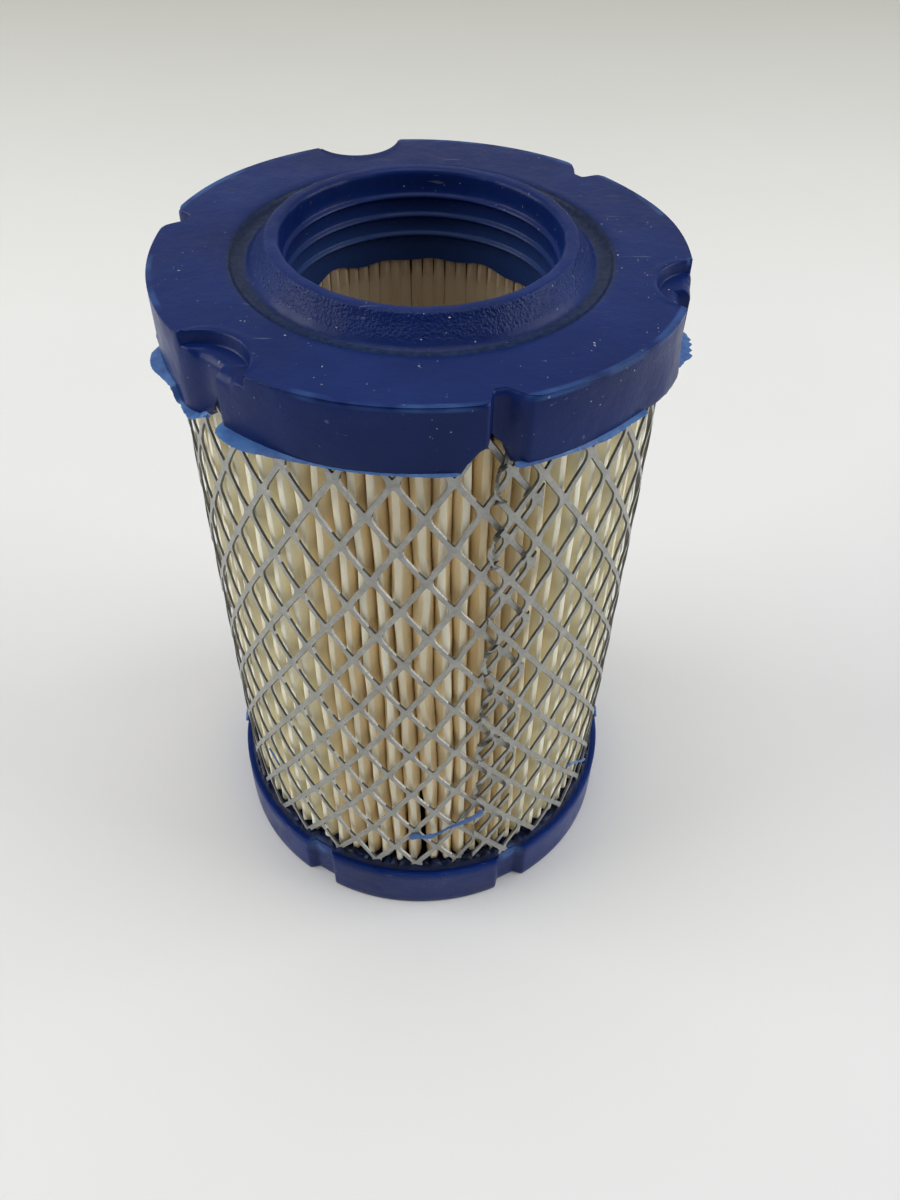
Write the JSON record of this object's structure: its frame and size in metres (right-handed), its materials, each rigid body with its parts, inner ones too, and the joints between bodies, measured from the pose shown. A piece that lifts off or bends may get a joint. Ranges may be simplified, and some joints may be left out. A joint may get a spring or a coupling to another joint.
{
  "type": "air filter cartridge",
  "caption": "Round engine air filter cartridge: pleated paper in an expanded metal screen, potted in moulded end caps, one open with a ribbed sealing throat.",
  "frame": {"origin": "middle of the closed end cap's flat underside", "axes": "+Z along the cartridge's axis, from the closed end to the open end; -Y is the front, which faces the viewer"},
  "size_m": [0.082, 0.082, 0.1319],
  "materials": {
    "moulded_cap": "semi-gloss moulded polyurethane, dark royal blue",
    "expanded_metal": "dull galvanised sheet with sheared edges",
    "filter_paper": "matte cream resin-treated filter paper",
    "seam_adhesive": "set hot-melt adhesive, amber"
  },
  "bodies": {
    "root": {"top_end_cap": "moulded_cap", "bottom_end_cap": "moulded_cap", "outer_screen": "expanded_metal", "pleated_paper": "filter_paper", "paper_seam": "seam_adhesive"}
  },
  "joints": []
}
